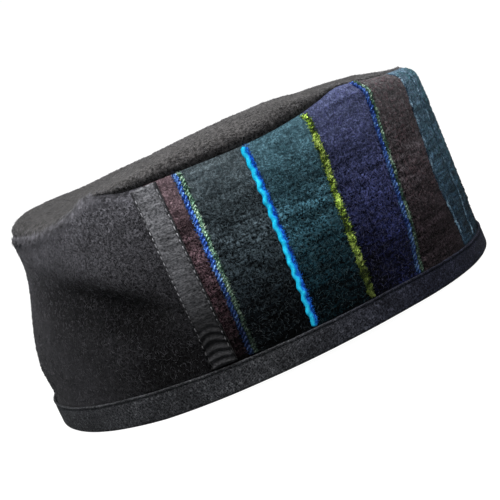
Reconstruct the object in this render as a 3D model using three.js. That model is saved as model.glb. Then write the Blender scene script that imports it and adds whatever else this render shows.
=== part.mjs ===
import * as THREE from 'three';

// A brimless wool cap, in millimetres and degrees. An oval wall, in a striped front length and a plain
// back length, carries a puffed crown. A ribbon covers each side join and a folded binding edges the foot.
// The front faces -Y, the wearer's right is -X, and the binding rests on z = 0.

// Oval of the foot and the stack of cloth round it
const HALF_WIDTH = 86;
const HALF_LENGTH = 98.75;
const CLOTH = 2.2;
const TAPE = 1;
const GAP = 0.3;
const FACE = TAPE + GAP;
const FOOT = TAPE + 2 * GAP;
const CENTRE_TOP = 87.0;

// Rounding of the binding's edges
const ROUND = 0.9;
const CORNER = 0.3;

// Side joins, at an angle from the front centre, and the ribbons over them
const JOIN_ANGLE = 87.6;
const RIBBON_WIDTH = 10;
const RIBBON_TOP_TURN = 0.5;

// Steps of the faceted surfaces
const WALL_COLUMNS = 40;
const RIBBON_COLUMNS = 3;
const STRAIGHT_ROWS = 9;
const TURN_ROWS = 2;
const RING_COLUMNS = 64;
const CROWN_ROWS = 10;
const CROWN_ROW_POWER = 1.6;

// The cap's upright sections, from the front centre round to the back centre, alike on both sides.
// rise: foot above the floor, band: height of the binding, seam: height of the crown seam,
// radius and turn: the wall's rounded shoulder below that seam, top: the crown just inside its edge,
// edge: how square the crown's edge is, lip: how far it overhangs the seam, or draws in from it below 0,
// lean: how far the wall tips in at its top, bulge: how far it swells at mid height.
const SECTION_COLUMNS = [
  'angle', 'rise', 'band', 'seam', 'radius', 'turn', 'top', 'edge', 'lip', 'lean', 'bulge',
];
const SECTIONS = [
  [0, -0.2, 8.0, 78.4, 7.0, 78, 82.2, 1.8, 0.0, -1.2, 0.4],
  [20, 0.2, 8.2, 78.8, 7.0, 78, 83.4, 2.0, 0.0, -1.2, 0.2],
  [28, 0.6, 8.5, 79.8, 7.0, 76, 84.0, 2.2, 0.0, -1.0, 0.2],
  [35, 1.0, 8.7, 81.2, 7.0, 72, 84.8, 2.4, 0.1, -0.8, 0.2],
  [41, 1.4, 9.0, 81.8, 6.5, 62, 86.6, 2.6, 0.3, -0.5, 0.2],
  [47, 1.8, 9.2, 80.0, 5.5, 48, 88.6, 2.8, 1.0, 0.0, 0.2],
  [54, 2.0, 9.3, 78.2, 3.8, 32, 90.0, 2.8, 1.8, 0.0, 0.3],
  [64, 2.0, 9.4, 77.0, 3.0, 22, 90.0, 2.8, 2.0, 0.0, 0.4],
  [80, 1.5, 9.8, 77.8, 3.0, 20, 88.8, 2.8, 2.0, 0.0, 0.4],
  [92, 0.8, 10.3, 79.0, 3.0, 22, 87.0, 2.8, 1.8, 0.2, 0.4],
  [97, 0.5, 10.7, 81.2, 3.6, 34, 86.0, 2.6, 0.8, 0.9, 0.2],
  [102, 0.2, 11.0, 82.4, 5.0, 54, 85.4, 2.4, -0.8, 2.0, 0.1],
  [107, -0.1, 11.1, 79.9, 4.5, 58, 84.6, 2.4, -1.6, 3.2, 0.0],
  [113, -0.3, 11.2, 78.2, 4.0, 60, 84.3, 2.4, -1.5, 4.7, 0.0],
  [121, 0.0, 11.1, 77.6, 3.6, 60, 84.6, 2.4, -1.2, 6.4, -0.4],
  [131, 0.2, 11.0, 78.6, 3.5, 58, 85.8, 2.6, -0.4, 8.4, -0.8],
  [143, 0.6, 10.8, 80.0, 3.4, 56, 88.2, 3.0, 0.2, 10.8, -1.0],
  [158, 1.0, 10.6, 80.8, 3.4, 54, 90.4, 3.2, 0.2, 12.8, -1.2],
  [180, 1.2, 10.5, 81.0, 3.4, 54, 90.8, 3.2, 0.2, 13.3, -1.2],
];

// The swell is fullest at this power of the height, the wall tips in from TIP_START of its height,
// and its folds weaken from FOLD_EASE of its height up to the share left at the seam
const SWELL_POWER = 0.62;
const TIP_START = 0.15;
const FOLD_START = 14;
const FOLD_EASE = 0.8;
const FOLD_AT_SEAM = 0.4;

// Folds and dents of the slumped wall. Each lies at an angle and a height and climbs by mm per degree.
// It goes in by its depth, or out where that is negative. It fades over degrees before and after its
// angle, and over mm above and below its line.
const FOLD_COLUMNS = ['angle', 'height', 'climb', 'depth', 'before', 'after', 'above', 'below'];
const FOLDS = [
  [104, 42.5, 0.75, 4.6, 9, 12, 6, 14],
  [123, 50.0, 0.45, 3.2, 14, 26, 11, 24],
  [97, 19.0, 0.0, 1.5, 5, 9, 9, 9],
  [-108, 44, -0.4, 3.4, 24, 10, 10, 18],
  [-150, 52, -0.1, 2.6, 30, 24, 18, 24],
  [172, 28, 0.05, -1.6, 32, 32, 18, 18],
  [22, 26, 0.1, -0.6, 14, 14, 14, 14],
  [-35, 52, 0.05, 1.0, 24, 24, 20, 20],
];

// The crown takes its top height from CROWN_EASE of the way in, and its overhang lies between the seam
// and LIP_END of the way in, fullest towards the seam by LIP_POWER
const CROWN_EASE = 0.3;
const LIP_END = 0.42;
const LIP_POWER = 0.7;

// Points nearer than one part in this many of a millimetre are one point
const POINT_STEPS = 1e6;

const COLOURS = {
  crown: 0x2e2e33,
  back_wall: 0x28282c,
  front_panel: 0x2b3b44,
  ribbon: 0x3d3d42,
  binding: 0x323237,
};

function smoothStep(from, to, value) {
  const part = THREE.MathUtils.clamp((value - from) / (to - from), 0, 1);
  return part * part * (3 - 2 * part);
}

// Slope of a table column at a row: level at both ends, so that the two sides of the cap meet smoothly
function slopeAt(rows, index, row) {
  if (row === 0 || row === rows.length - 1) {
    return 0;
  }
  const rise = rows[row + 1][index] - rows[row - 1][index];
  return rise / (rows[row + 1][0] - rows[row - 1][0]);
}

// A named column of the sections table, smoothly between its rows
function section(name, angle) {
  const index = SECTION_COLUMNS.indexOf(name);
  const away = Math.abs(THREE.MathUtils.euclideanModulo(angle + 180, 360) - 180);
  let row = 0;
  while (row < SECTIONS.length - 2 && away >= SECTIONS[row + 1][0]) {
    row += 1;
  }
  const width = SECTIONS[row + 1][0] - SECTIONS[row][0];
  const t = (away - SECTIONS[row][0]) / width;
  const start = SECTIONS[row][index];
  const change = SECTIONS[row + 1][index] - start;
  const slopeIn = width * slopeAt(SECTIONS, index, row);
  const slopeOut = width * slopeAt(SECTIONS, index, row + 1);
  return start + change * t * t * (3 - 2 * t) + slopeIn * t * (1 - t) * (1 - t) - slopeOut * t * t * (1 - t);
}

// Height of the foot above the floor: flat on it at the front and behind each ear
function footRise(angle) {
  return Math.max(0, section('rise', angle));
}

// A point beside the foot's oval: an angle round it, an offset out along its normal, and a height
function place(angle, offset, height) {
  const turn = THREE.MathUtils.degToRad(angle);
  const normal = new THREE.Vector2(-Math.sin(turn) * HALF_LENGTH, -Math.cos(turn) * HALF_WIDTH).normalize();
  return new THREE.Vector3(
    -HALF_WIDTH * Math.sin(turn) + normal.x * offset,
    -HALF_LENGTH * Math.cos(turn) + normal.y * offset,
    height,
  );
}

function foldDepth(angle, height) {
  let depth = 0;
  for (const row of FOLDS) {
    const fold = Object.fromEntries(FOLD_COLUMNS.map((name, index) => [name, row[index]]));
    const along = THREE.MathUtils.euclideanModulo(angle - fold.angle + 180, 360) - 180;
    const above = height - fold.height - fold.climb * along;
    const spread = along < 0 ? fold.before : fold.after;
    const reach = above < 0 ? fold.below : fold.above;
    depth += fold.depth * Math.exp(-((along / spread) ** 2) - (above / reach) ** 2);
  }
  return depth;
}

// How far the wall's outer face stands out from the foot's oval, at a height
function wallOffset(angle, height) {
  const bandTop = footRise(angle) + section('band', angle);
  const part = THREE.MathUtils.clamp((height - bandTop) / (section('seam', angle) - bandTop), 0, 1);
  const swell = section('bulge', angle) * Math.sin(Math.PI * part ** SWELL_POWER);
  const tip = section('lean', angle) * smoothStep(TIP_START, 1, part);
  const start = smoothStep(bandTop, bandTop + FOLD_START, height);
  const end = 1 - (1 - FOLD_AT_SEAM) * smoothStep(FOLD_EASE, 1, part);
  const fold = foldDepth(angle, height) * start * end;
  return swell - tip - fold - FACE;
}

// A point of the wall: `straight` runs 0 to 1 up its upright part and `turned` 0 to 1 round its shoulder.
// `depth` goes in from the outer face, and `past` runs on beyond the upper edge.
function wallPoint(angle, straight, turned, depth, past = 0) {
  const radius = section('radius', angle);
  const fullTurn = THREE.MathUtils.degToRad(section('turn', angle));
  const foot = footRise(angle) + FOOT;
  const shoulder = section('seam', angle) - radius * Math.sin(fullTurn);
  const height = foot + straight * (shoulder - foot);
  const turn = turned * fullTurn;
  const inward = radius * (1 - Math.cos(turn)) + depth * Math.cos(turn) + past * Math.sin(turn);
  const upward = (radius - depth) * Math.sin(turn) + past * Math.cos(turn);
  return place(angle, wallOffset(angle, height) - inward, height + upward);
}

// A point of the crown: `sweep` runs 0 at its sewn edge to 1 at its centre
function crownPoint(angle, sweep, depth) {
  const edge = wallPoint(angle, 1, 1, depth, GAP);
  const quarter = sweep * Math.PI / 2;
  const power = 2 / section('edge', angle);
  const shrink = Math.max(0, Math.cos(quarter)) ** power;
  const climb = Math.sin(quarter) ** power;
  const inside = smoothStep(CROWN_EASE, 1, sweep);
  const top = section('top', angle) * (1 - inside) + CENTRE_TOP * inside - depth;
  const lip = section('lip', angle) * Math.sin(Math.PI * Math.min(sweep / LIP_END, 1) ** LIP_POWER);
  const outward = place(angle, lip, 0).sub(place(angle, 0, 0));
  return new THREE.Vector3(
    edge.x * shrink + outward.x,
    edge.y * shrink + outward.y,
    edge.z + climb * (top - edge.z),
  );
}

function steps(count, from, to) {
  return Array.from({ length: count + 1 }, (_, index) => from + (to - from) * index / count);
}

// A closed body swept through closed section loops. It closes on itself as a ring, or its two ends are
// capped by joining each point of the loop's first half to its partner in the second half.
function sweepLoops(loops, ring) {
  const points = [];
  const known = new Map();
  const faces = [];
  const indexOf = (point) => {
    const key = point.toArray().map((value) => Math.round(value * POINT_STEPS)).join();
    if (!known.has(key)) {
      known.set(key, points.length / 3);
      points.push(point.x, point.y, point.z);
    }
    return known.get(key);
  };
  const addFace = (a, b, c) => {
    if (a !== b && b !== c && c !== a) {
      faces.push(a, b, c);
    }
  };
  const addQuad = (a, b, c, d) => {
    addFace(a, b, c);
    addFace(a, c, d);
  };
  const indexed = loops.map((loop) => loop.map(indexOf));
  const size = loops[0].length;
  const last = loops.length - 1;
  for (let column = 0; column < (ring ? loops.length : last); column += 1) {
    const here = indexed[column];
    const next = indexed[(column + 1) % loops.length];
    for (let row = 0; row < size; row += 1) {
      const up = (row + 1) % size;
      addQuad(here[row], here[up], next[up], next[row]);
    }
  }
  if (!ring) {
    for (let row = 0; row < size / 2 - 1; row += 1) {
      const partner = size - 1 - row;
      const [first, end] = [indexed[0], indexed[last]];
      addQuad(first[row], first[partner], first[partner - 1], first[row + 1]);
      addQuad(end[row], end[row + 1], end[partner - 1], end[partner]);
    }
  }
  const geometry = new THREE.BufferGeometry();
  geometry.setAttribute('position', new THREE.Float32BufferAttribute(points, 3));
  geometry.setIndex(faces);
  geometry.computeVertexNormals();
  return geometry;
}

// A length of cloth that follows the wall between two angles, from one depth to another
function wallSheet(from, to, columns, outerDepth, innerDepth, startStraight, endTurn) {
  const rows = [
    ...steps(STRAIGHT_ROWS, startStraight, 1).map((part) => [part, 0]),
    ...steps(TURN_ROWS, 0, endTurn).slice(1).map((part) => [1, part]),
  ];
  const loops = steps(columns, from, to).map((angle) => [
    ...rows.map(([straight, turned]) => wallPoint(angle, straight, turned, outerDepth)),
    ...rows.toReversed().map(([straight, turned]) => wallPoint(angle, straight, turned, innerDepth)),
  ]);
  return sweepLoops(loops, false);
}

// Angle round the oval that spans a length of cloth at the side joins
function angleOf(length) {
  const turn = THREE.MathUtils.degToRad(JOIN_ANGLE);
  const perRadian = Math.hypot(HALF_WIDTH * Math.cos(turn), HALF_LENGTH * Math.sin(turn));
  return THREE.MathUtils.radToDeg(length / perRadian);
}

function makeFrontPanel() {
  const reach = JOIN_ANGLE - angleOf(GAP / 2);
  return wallSheet(-reach, reach, WALL_COLUMNS, 0, CLOTH, 0, 1);
}

function makeBackWall() {
  const start = JOIN_ANGLE + angleOf(GAP / 2);
  return wallSheet(start, 360 - start, WALL_COLUMNS, 0, CLOTH, 0, 1);
}

// A ribbon lies over a side join, from the binding up to just below the crown seam
function makeRibbon(centre) {
  const half = angleOf(RIBBON_WIDTH / 2);
  const bandTop = footRise(centre) + section('band', centre) + 2 * GAP;
  const shoulder = section('seam', centre);
  const start = (bandTop - footRise(centre) - FOOT) / (shoulder - footRise(centre) - FOOT);
  return wallSheet(centre - half, centre + half, RIBBON_COLUMNS, -GAP - TAPE, -GAP, start, RIBBON_TOP_TURN);
}

function makeCrown() {
  const sweeps = steps(CROWN_ROWS, 0, 1).map((part) => part ** CROWN_ROW_POWER);
  const loops = steps(RING_COLUMNS, -180, 180).slice(1).map((angle) => [
    ...sweeps.map((sweep) => crownPoint(angle, sweep, 0)),
    ...sweeps.toReversed().map((sweep) => crownPoint(angle, sweep, CLOTH)),
  ]);
  return sweepLoops(loops, true);
}

// The binding's U section round the wall's lower edge, as offsets from the oval and heights, of which
// the feet and the pocket are measured from its foot and the two upper edges down from its top
function bindingLoop(angle) {
  const foot = footRise(angle);
  const top = foot + section('band', angle);
  const inner = FACE + CLOTH + GAP;
  const back = inner + TAPE;
  const outerFace = [[-ROUND, 0], [-CORNER, CORNER], [0, ROUND]];
  const outerTop = [[0, ROUND], [-CORNER, CORNER], [-TAPE / 2, 0], [-TAPE, CORNER]];
  const pocket = [[-TAPE, FACE], [-inner, FACE]];
  const innerTop = [[-inner, CORNER], [-inner - TAPE / 2, 0], [-back, CORNER]];
  const innerFace = [[-back, ROUND], [-back + CORNER, CORNER], [-inner, 0]];
  const aboveFoot = ([offset, above]) => place(angle, offset, foot + above);
  const belowTop = ([offset, below]) => place(angle, offset, top - below);
  return [
    ...outerFace.map(aboveFoot),
    ...outerTop.map(belowTop),
    ...pocket.map(aboveFoot),
    ...innerTop.map(belowTop),
    ...innerFace.map(aboveFoot),
  ];
}

function makeBinding() {
  return sweepLoops(steps(RING_COLUMNS, -180, 180).slice(1).map(bindingLoop), true);
}

function clothMesh(name, geometry, colour) {
  const material = new THREE.MeshStandardMaterial({ color: colour, roughness: 0.95, metalness: 0 });
  const mesh = new THREE.Mesh(geometry, material);
  mesh.name = name;
  return mesh;
}

const group = new THREE.Group();
group.add(
  clothMesh('front_panel', makeFrontPanel(), COLOURS.front_panel),
  clothMesh('back_wall', makeBackWall(), COLOURS.back_wall),
  clothMesh('crown', makeCrown(), COLOURS.crown),
  clothMesh('ribbon_right', makeRibbon(JOIN_ANGLE), COLOURS.ribbon),
  clothMesh('ribbon_left', makeRibbon(-JOIN_ANGLE), COLOURS.ribbon),
  clothMesh('binding', makeBinding(), COLOURS.binding),
);

export default group;
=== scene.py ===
import math

import bpy
import numpy as np
from mathutils import Matrix, Vector


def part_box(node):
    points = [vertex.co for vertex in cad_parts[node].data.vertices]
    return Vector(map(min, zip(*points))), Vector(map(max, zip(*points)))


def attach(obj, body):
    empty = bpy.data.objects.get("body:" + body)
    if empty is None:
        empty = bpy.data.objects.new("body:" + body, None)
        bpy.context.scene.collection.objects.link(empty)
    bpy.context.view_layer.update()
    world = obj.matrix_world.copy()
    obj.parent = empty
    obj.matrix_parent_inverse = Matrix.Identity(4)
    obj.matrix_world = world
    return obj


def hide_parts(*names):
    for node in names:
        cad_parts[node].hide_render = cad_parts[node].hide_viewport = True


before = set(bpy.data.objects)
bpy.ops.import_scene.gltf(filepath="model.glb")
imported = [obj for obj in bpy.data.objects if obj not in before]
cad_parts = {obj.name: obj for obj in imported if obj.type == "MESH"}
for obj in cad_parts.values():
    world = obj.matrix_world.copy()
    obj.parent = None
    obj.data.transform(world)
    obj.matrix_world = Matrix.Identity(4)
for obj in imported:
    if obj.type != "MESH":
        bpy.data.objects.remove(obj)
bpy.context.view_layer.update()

# Shapes are worked out in millimetres, with the front at -Y and the wearer's right at -X.
MM = 0.001
low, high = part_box("binding")
HALF_WIDTH = (high.x - low.x) / 2 / MM
HALF_LENGTH = (high.y - low.y) / 2 / MM

# The cap's sections, as in the source of the CAD solids
CLOTH = 2.2
TAPE = 1.0
GAP = 0.3
FACE = TAPE + GAP
FOOT = TAPE + 2 * GAP
CENTRE_TOP = 87.0
JOIN_ANGLE = 87.6
RIBBON_WIDTH = 10.0
RIBBON_TOP_TURN = 0.5
SWELL_POWER = 0.62
TIP_START = 0.15
FOLD_START = 14
FOLD_EASE = 0.8
FOLD_AT_SEAM = 0.4
CROWN_EASE = 0.3
LIP_END = 0.42
LIP_POWER = 0.7
# finer than the CAD solids: the rows of stitches, and a crown whose edge all but touches the wall
STITCH_ROW = 4.3
CROWN_GAP = 0.08

# rise: foot above the floor, band: height of the binding, seam: height of the crown seam, radius and
# turn: the wall's rounded shoulder below that seam, top: the crown just inside its edge, edge: how
# square the crown's edge is, lip: how far it overhangs the seam, or draws in from it below 0,
# lean: how far the wall tips in at its top, bulge: how far it swells at mid height.
SECTION_COLUMNS = (
    "angle", "rise", "band", "seam", "radius", "turn", "top", "edge", "lip", "lean", "bulge",
)
SECTIONS = np.array([
    (0, -0.2, 8.0, 78.4, 7.0, 78, 82.2, 1.8, 0.0, -1.2, 0.4),
    (20, 0.2, 8.2, 78.8, 7.0, 78, 83.4, 2.0, 0.0, -1.2, 0.2),
    (28, 0.6, 8.5, 79.8, 7.0, 76, 84.0, 2.2, 0.0, -1.0, 0.2),
    (35, 1.0, 8.7, 81.2, 7.0, 72, 84.8, 2.4, 0.1, -0.8, 0.2),
    (41, 1.4, 9.0, 81.8, 6.5, 62, 86.6, 2.6, 0.3, -0.5, 0.2),
    (47, 1.8, 9.2, 80.0, 5.5, 48, 88.6, 2.8, 1.0, 0.0, 0.2),
    (54, 2.0, 9.3, 78.2, 3.8, 32, 90.0, 2.8, 1.8, 0.0, 0.3),
    (64, 2.0, 9.4, 77.0, 3.0, 22, 90.0, 2.8, 2.0, 0.0, 0.4),
    (80, 1.5, 9.8, 77.8, 3.0, 20, 88.8, 2.8, 2.0, 0.0, 0.4),
    (92, 0.8, 10.3, 79.0, 3.0, 22, 87.0, 2.8, 1.8, 0.2, 0.4),
    (97, 0.5, 10.7, 81.2, 3.6, 34, 86.0, 2.6, 0.8, 0.9, 0.2),
    (102, 0.2, 11.0, 82.4, 5.0, 54, 85.4, 2.4, -0.8, 2.0, 0.1),
    (107, -0.1, 11.1, 79.9, 4.5, 58, 84.6, 2.4, -1.6, 3.2, 0.0),
    (113, -0.3, 11.2, 78.2, 4.0, 60, 84.3, 2.4, -1.5, 4.7, 0.0),
    (121, 0.0, 11.1, 77.6, 3.6, 60, 84.6, 2.4, -1.2, 6.4, -0.4),
    (131, 0.2, 11.0, 78.6, 3.5, 58, 85.8, 2.6, -0.4, 8.4, -0.8),
    (143, 0.6, 10.8, 80.0, 3.4, 56, 88.2, 3.0, 0.2, 10.8, -1.0),
    (158, 1.0, 10.6, 80.8, 3.4, 54, 90.4, 3.2, 0.2, 12.8, -1.2),
    (180, 1.2, 10.5, 81.0, 3.4, 54, 90.8, 3.2, 0.2, 13.3, -1.2),
])
# Each fold lies at an angle and a height and climbs by mm per degree. It goes in by its depth, or out
# where that is negative. It fades over degrees before and after its angle, and over mm above and below.
FOLD_COLUMNS = ("angle", "height", "climb", "depth", "before", "after", "above", "below")
FOLDS = (
    (104, 42.5, 0.75, 4.6, 9, 12, 6, 14),
    (123, 50.0, 0.45, 3.2, 14, 26, 11, 24),
    (97, 19.0, 0.0, 1.5, 5, 9, 9, 9),
    (-108, 44, -0.4, 3.4, 24, 10, 10, 18),
    (-150, 52, -0.1, 2.6, 30, 24, 18, 24),
    (172, 28, 0.05, -1.6, 32, 32, 18, 18),
    (22, 26, 0.1, -0.6, 14, 14, 14, 14),
    (-35, 52, 0.05, 1.0, 24, 24, 20, 20),
    # finer than the CAD solids: the crease's crisp line
    (102, 41.0, 0.75, 1.0, 7, 13, 2.4, 6),
    (-108, 43.5, -0.4, 0.8, 22, 12, 3, 7),
)


def smooth_step(low, high, value):
    part = np.clip((value - low) / (high - low), 0, 1)
    return part * part * (3 - 2 * part)


def section(name, angle):
    """A named column of the sections table, smoothly between its rows and alike on both sides."""
    away = np.abs((np.asarray(angle, float) + 180) % 360 - 180)
    at, value = SECTIONS[:, 0], SECTIONS[:, SECTION_COLUMNS.index(name)]
    slope = np.zeros(len(at))
    slope[1:-1] = (value[2:] - value[:-2]) / (at[2:] - at[:-2])
    row = np.clip(np.searchsorted(at, away, side="right") - 1, 0, len(at) - 2)
    width = at[row + 1] - at[row]
    t = (away - at[row]) / width
    change = value[row + 1] - value[row]
    return (
        value[row] + change * t * t * (3 - 2 * t)
        + width * slope[row] * t * (1 - t) ** 2 - width * slope[row + 1] * t * t * (1 - t)
    )


def foot_rise(angle):
    return np.maximum(0, section("rise", angle))


def band_top(angle):
    return foot_rise(angle) + section("band", angle)


def shoulder(angle):
    """The wall's rounded top: its radius, how far it turns in radians, and the height where it starts."""
    radius, turn = section("radius", angle), np.radians(section("turn", angle))
    return radius, turn, section("seam", angle) - radius * np.sin(turn)


def normal_of(angle):
    turn = np.radians(angle)
    normal = np.stack([-np.sin(turn) * HALF_LENGTH, -np.cos(turn) * HALF_WIDTH], -1)
    return normal / np.linalg.norm(normal, axis=-1, keepdims=True)


def place(angle, offset, height):
    turn = np.radians(angle)
    oval = np.stack([-HALF_WIDTH * np.sin(turn), -HALF_LENGTH * np.cos(turn)], -1)
    flat = oval + normal_of(angle) * np.asarray(offset)[..., None]
    return np.concatenate([flat, np.broadcast_to(height, flat.shape[:-1])[..., None]], -1)


def fold_depth(angle, height):
    depth = 0
    for row in FOLDS:
        fold = dict(zip(FOLD_COLUMNS, row))
        along = (angle - fold["angle"] + 180) % 360 - 180
        above = height - fold["height"] - fold["climb"] * along
        spread = np.where(along < 0, fold["before"], fold["after"])
        reach = np.where(above < 0, fold["below"], fold["above"])
        depth = depth + fold["depth"] * np.exp(-(along / spread) ** 2 - (above / reach) ** 2)
    return depth


def wall_offset(angle, height):
    low_edge = band_top(angle)
    part = np.clip((height - low_edge) / (section("seam", angle) - low_edge), 0, 1)
    swell = section("bulge", angle) * np.sin(np.pi * part ** SWELL_POWER)
    tip = section("lean", angle) * smooth_step(TIP_START, 1, part)
    start = smooth_step(low_edge, low_edge + FOLD_START, height)
    end = 1 - (1 - FOLD_AT_SEAM) * smooth_step(FOLD_EASE, 1, part)
    return swell - tip - fold_depth(angle, height) * start * end - FACE


def wall_point(angle, straight, turned, depth, past=0):
    radius, full_turn, start = shoulder(angle)
    foot = foot_rise(angle) + FOOT
    height = foot + straight * (start - foot)
    turn = turned * full_turn
    inward = radius * (1 - np.cos(turn)) + depth * np.cos(turn) + past * np.sin(turn)
    upward = (radius - depth) * np.sin(turn) + past * np.cos(turn)
    return place(angle, wall_offset(angle, height) - inward, height + upward)


def crown_point(angle, sweep, depth):
    edge = wall_point(angle, 1, 1, depth, CROWN_GAP)
    quarter = sweep * np.pi / 2
    power = 2 / section("edge", angle)
    shrink, climb = np.maximum(0, np.cos(quarter)) ** power, np.sin(quarter) ** power
    inside = smooth_step(CROWN_EASE, 1, sweep)
    top = section("top", angle) * (1 - inside) + CENTRE_TOP * inside - depth
    lip = section("lip", angle) * np.sin(np.pi * np.minimum(sweep / LIP_END, 1) ** LIP_POWER)
    flat = edge[..., :2] * shrink[..., None] + normal_of(angle) * lip[..., None]
    return np.concatenate([flat, (edge[..., 2] + climb * (top - edge[..., 2]))[..., None]], -1)


# Distances along the cloth, tabled up to 300 degrees each way from the front centre
ANGLES = np.linspace(-300, 300, 6001)
speed = np.hypot(HALF_WIDTH * np.cos(np.radians(ANGLES)), HALF_LENGTH * np.sin(np.radians(ANGLES)))
ARCS = np.concatenate([[0], np.cumsum((speed[1:] + speed[:-1]) / 2 * np.radians(np.diff(ANGLES)))])
ARCS -= np.interp(0, ANGLES, ARCS)


def arc_at(angle):
    return np.interp(angle, ANGLES, ARCS)


def angle_at(arc):
    return np.interp(arc, ARCS, ANGLES)


def wall_rise(angle):
    """Length of cloth up to the top edge of the wall, counted from the floor."""
    radius, turn, start = shoulder(angle)
    return start + radius * turn


def cloth_point(arc, along, out):
    """A point on the wall: mm round it from the front centre, mm of cloth up it and mm out of its face."""
    angle = angle_at(arc)
    radius, turn, start = shoulder(angle)
    foot = foot_rise(angle) + FOOT
    straight = np.clip((along - foot) / (start - foot), 0, 1)
    turned = np.clip((along - start) / (radius * turn), 0, 1)
    return wall_point(angle, straight, turned, -np.asarray(out))


NOISE_CELLS = 511


def noise(x, y, seed):
    """Smooth noise from -1 to 1, with about one bump to each unit."""
    table = np.random.default_rng(seed).uniform(-1, 1, (NOISE_CELLS + 1, NOISE_CELLS + 1))
    x, y = np.broadcast_arrays(np.asarray(x, float) + 100, np.asarray(y, float) + 100)
    column, row = np.floor(x).astype(int), np.floor(y).astype(int)
    u, v = x - column, y - row
    u, v = u * u * (3 - 2 * u), v * v * (3 - 2 * v)
    column, row = column % NOISE_CELLS, row % NOISE_CELLS
    bottom = table[row, column] * (1 - u) + table[row, column + 1] * u
    top = table[row + 1, column] * (1 - u) + table[row + 1, column + 1] * u
    return bottom * (1 - v) + top * v


def edge_fade(along, low_edge, high_edge, reach=3.0):
    """One inside a strip, easing to nothing at its two edges."""
    rise = smooth_step(low_edge, low_edge + reach, along)
    return rise * (1 - smooth_step(high_edge - reach, high_edge, along))


# Meshes
INNER_ROWS = 22


def make_mesh(name, points, faces, coords=None):
    """A piece from points in mm and an array of faces, with a map of the cloth's own mm on it."""
    mesh = bpy.data.meshes.new(name)
    mesh.vertices.add(len(points))
    mesh.vertices.foreach_set("co", (points * MM).astype(np.float32).ravel())
    mesh.loops.add(faces.size)
    mesh.loops.foreach_set("vertex_index", faces.astype(np.int32).ravel())
    mesh.polygons.add(len(faces))
    mesh.polygons.foreach_set("loop_start", np.arange(0, faces.size, faces.shape[1], dtype=np.int32))
    mesh.polygons.foreach_set("use_smooth", np.ones(len(faces), bool))
    if coords is not None:
        layer = mesh.uv_layers.new(name="cloth")
        layer.uv.foreach_set("vector", (coords[faces.ravel()] * MM).astype(np.float32).ravel())
    mesh.update(calc_edges=True)
    mesh.validate()
    made = bpy.data.objects.new(name, mesh)
    bpy.context.scene.collection.objects.link(made)
    return made


def loop_faces(columns, size, ring):
    """Quads between `columns` closed loops of `size` points, and in a ring back to the first loop."""
    column, row = np.meshgrid(np.arange(columns if ring else columns - 1), np.arange(size), indexing="ij")
    after, up = (column + 1) % columns, (row + 1) % size
    sides = np.stack([column * size + row, column * size + up, after * size + up, after * size + row], -1)
    return sides.reshape(-1, 4)


def in_triangles(quads):
    return np.concatenate([quads[:, [0, 1, 2]], quads[:, [0, 2, 3]]])


def cap_faces(columns, outer_rows, inner_rows):
    """Triangles over both ends of a strip whose loops run up its outer face and down its inner face."""
    size = outer_rows + inner_rows
    faces = []
    for row in range(outer_rows - 1):
        here = size - 1 - row * (inner_rows - 1) // (outer_rows - 1)
        after = size - 1 - (row + 1) * (inner_rows - 1) // (outer_rows - 1)
        faces.append((row, here, row + 1))
        if after != here:
            faces.append((row + 1, here, after))
    first = np.array(faces)
    return np.concatenate([first, first[:, ::-1] + (columns - 1) * size])


def make_strip(name, outer, inner, outer_map, inner_map):
    """A closed strip of cloth from points up its outer face and down its inner one, in matching columns."""
    points = np.concatenate([outer, inner], 1)
    coords = np.concatenate([np.stack(outer_map, -1), np.stack(inner_map, -1)], 1)
    columns, size = points.shape[:2]
    faces = np.concatenate([
        in_triangles(loop_faces(columns, size, False)), cap_faces(columns, outer.shape[1], inner.shape[1]),
    ])
    return make_mesh(name, points.reshape(-1, 3), faces, coords.reshape(-1, 2))


def finish_piece(made, material, nodes=()):
    made.data.materials.append(material)
    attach(made, "root")
    if nodes:
        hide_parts(*nodes)
    return made


# What all materials share
WHITE = (1, 1, 1, 1)
# the ramps of shades run from 0 to this many mm
SHADE_REACH = 90


def srgb(red, green, blue):
    """A colour given as 0 to 255, as linear light."""
    parts = [part / 255 for part in (red, green, blue)]
    return (*(((part + 0.055) / 1.055) ** 2.4 if part > 0.04 else part / 12.92 for part in parts), 1)


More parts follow.
